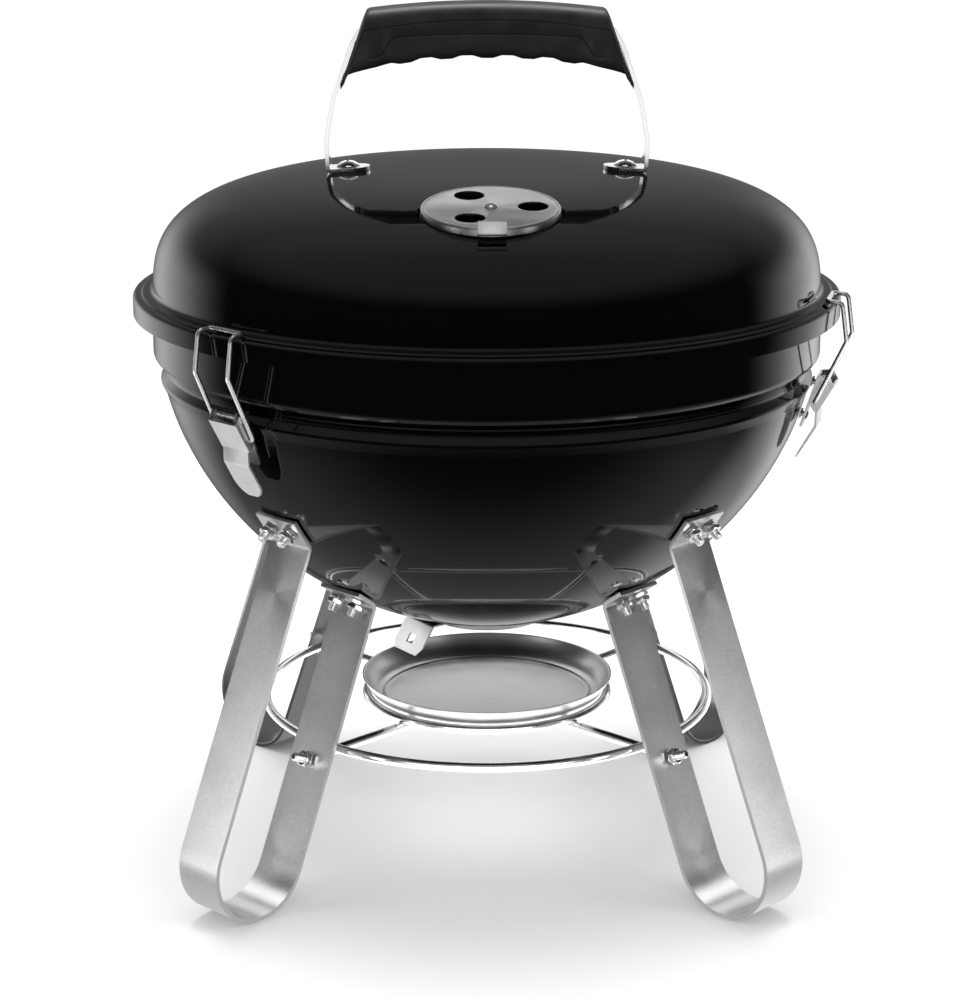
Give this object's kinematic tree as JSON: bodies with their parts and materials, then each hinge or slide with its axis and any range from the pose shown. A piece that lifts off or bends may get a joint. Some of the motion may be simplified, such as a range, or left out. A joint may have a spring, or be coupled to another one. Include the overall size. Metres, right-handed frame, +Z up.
{
  "type": "kettle charcoal grill",
  "caption": "Portable kettle charcoal grill with a domed latching lid, round bowl, looped flat-steel legs, air dampers, grates and an ash tray on a wire rack.",
  "frame": {"origin": "on the ground, on the kettle's vertical axis, in the middle of the four feet", "axes": "+Z up, front with the lid damper towards -Y, +X to the right seen from the front"},
  "size_m": [0.3939, 0.3943, 0.472],
  "materials": {
    "black_enamel": "gloss porcelain enamel",
    "black_grip_plastic": "matte moulded nylon",
    "brushed_steel": "brushed along the strip",
    "damper_aluminium": "satin pressed aluminium",
    "tray_aluminium": "satin spun aluminium",
    "plated_steel": "bright nickel plate",
    "rack_chrome": "bright plated wire",
    "grate_chrome": "plated wire",
    "latch_wire": "bright plated wire",
    "latch_zinc": "satin zinc plate",
    "fastener_steel": "zinc plate"
  },
  "bodies": {
    "bowl": {"bowl_damper_rivet": "fastener_steel", "bowl_shell": "black_enamel", "latch_base_left": "latch_zinc", "latch_base_rear": "latch_zinc", "latch_base_right": "latch_zinc", "latch_pin_left": "latch_wire", "latch_pin_rear": "latch_wire", "latch_pin_right": "latch_wire", "latch_rivets_left": "latch_zinc", "latch_rivets_rear": "latch_zinc", "latch_rivets_right": "latch_zinc", "leg_bolts": "fastener_steel", "leg_front_left": "brushed_steel", "leg_front_right": "brushed_steel", "leg_nuts": "fastener_steel", "leg_rear_left": "brushed_steel", "leg_rear_right": "brushed_steel", "rack_bolts": "fastener_steel", "rack_inner_ring": "rack_chrome", "rack_nuts": "fastener_steel", "rack_outer_ring": "rack_chrome", "rack_spokes": "rack_chrome"},
    "lid": {"lid_shell": "black_enamel", "lid_damper_rivet": "fastener_steel", "handle_strap": "plated_steel", "handle_grip_upper": "black_grip_plastic", "handle_grip_lower": "black_grip_plastic", "handle_screws": "fastener_steel", "handle_nuts": "fastener_steel"},
    "lid_damper": {"lid_damper": "damper_aluminium"},
    "bowl_damper": {"bowl_damper": "damper_aluminium"},
    "ash_tray": {"ash_tray": "tray_aluminium"},
    "cooking_grate": {"cooking_grate_ring": "grate_chrome", "cooking_grate_bars": "grate_chrome", "cooking_grate_braces": "grate_chrome"},
    "charcoal_grate": {"charcoal_grate_ring": "grate_chrome", "charcoal_grate_bars": "grate_chrome"},
    "latch_lever_left": {"latch_lever_left": "latch_zinc"},
    "latch_bail_left": {"latch_bail_left": "latch_wire"},
    "latch_lever_right": {"latch_lever_right": "latch_zinc"},
    "latch_bail_right": {"latch_bail_right": "latch_wire"},
    "latch_lever_rear": {"latch_lever_rear": "latch_zinc"},
    "latch_bail_rear": {"latch_bail_rear": "latch_wire"}
  },
  "joints": [
    {"name": "lid_lift", "type": "slide", "parent": "bowl", "child": "lid", "axis": [0, 0, 1], "range_m": [0, 0.035]},
    {"name": "lid_damper_turn", "type": "hinge", "parent": "lid", "child": "lid_damper", "pos_m": [0, -0.116, 0.3786], "axis": [0, -0.1513, 0.9885], "range_deg": [-60, 0]},
    {"name": "bowl_damper_turn", "type": "hinge", "parent": "bowl", "child": "bowl_damper", "pos_m": [0, 0, 0.128], "axis": [0, 0, 1], "range_deg": [0, 60]},
    {"name": "ash_tray_lift", "type": "slide", "parent": "bowl", "child": "ash_tray", "axis": [0, 0, 1], "range_m": [0, 0.015]},
    {"name": "cooking_grate_lift", "type": "slide", "parent": "bowl", "child": "cooking_grate", "axis": [0, 0, 1], "range_m": [0, 0.015]},
    {"name": "charcoal_grate_lift", "type": "slide", "parent": "bowl", "child": "charcoal_grate", "axis": [0, 0, 1], "range_m": [0, 0.04]},
    {"name": "latch_lever_turn_left", "type": "hinge", "parent": "bowl", "child": "latch_lever_left", "pos_m": [-0.13401, -0.13637, 0.275], "axis": [-0.7133, 0.7009, 0], "range_deg": [0, 121]},
    {"name": "latch_bail_swing_left", "type": "hinge", "parent": "latch_lever_left", "child": "latch_bail_left", "pos_m": [-0.13009, -0.13238, 0.2628], "axis": [-0.7133, 0.7009, 0], "range_deg": [-261, 0]},
    {"name": "latch_lever_turn_right", "type": "hinge", "parent": "bowl", "child": "latch_lever_right", "pos_m": [0.18425, -0.0511, 0.275], "axis": [-0.2672, -0.9636, 0], "range_deg": [0, 121]},
    {"name": "latch_bail_swing_right", "type": "hinge", "parent": "latch_lever_right", "child": "latch_bail_right", "pos_m": [0.17885, -0.0496, 0.2628], "axis": [-0.2672, -0.9636, 0], "range_deg": [-261, 0]},
    {"name": "latch_lever_turn_rear", "type": "hinge", "parent": "bowl", "child": "latch_lever_rear", "pos_m": [-0.04949, 0.18468, 0.275], "axis": [0.9659, 0.2588, 0], "range_deg": [0, 121]},
    {"name": "latch_bail_swing_rear", "type": "hinge", "parent": "latch_lever_rear", "child": "latch_bail_rear", "pos_m": [-0.04804, 0.17928, 0.2628], "axis": [0.9659, 0.2588, 0], "range_deg": [-261, 0]}
  ],
  "couplings": [
    {"joint": "latch_lever_turn_left", "follows": "lid_lift", "rad_per_m": 59.84},
    {"joint": "latch_bail_swing_left", "follows": "lid_lift", "rad_per_m": -129.65},
    {"joint": "latch_lever_turn_right", "follows": "lid_lift", "rad_per_m": 59.84},
    {"joint": "latch_bail_swing_right", "follows": "lid_lift", "rad_per_m": -129.65},
    {"joint": "latch_lever_turn_rear", "follows": "lid_lift", "rad_per_m": 59.84},
    {"joint": "latch_bail_swing_rear", "follows": "lid_lift", "rad_per_m": -129.65}
  ]
}
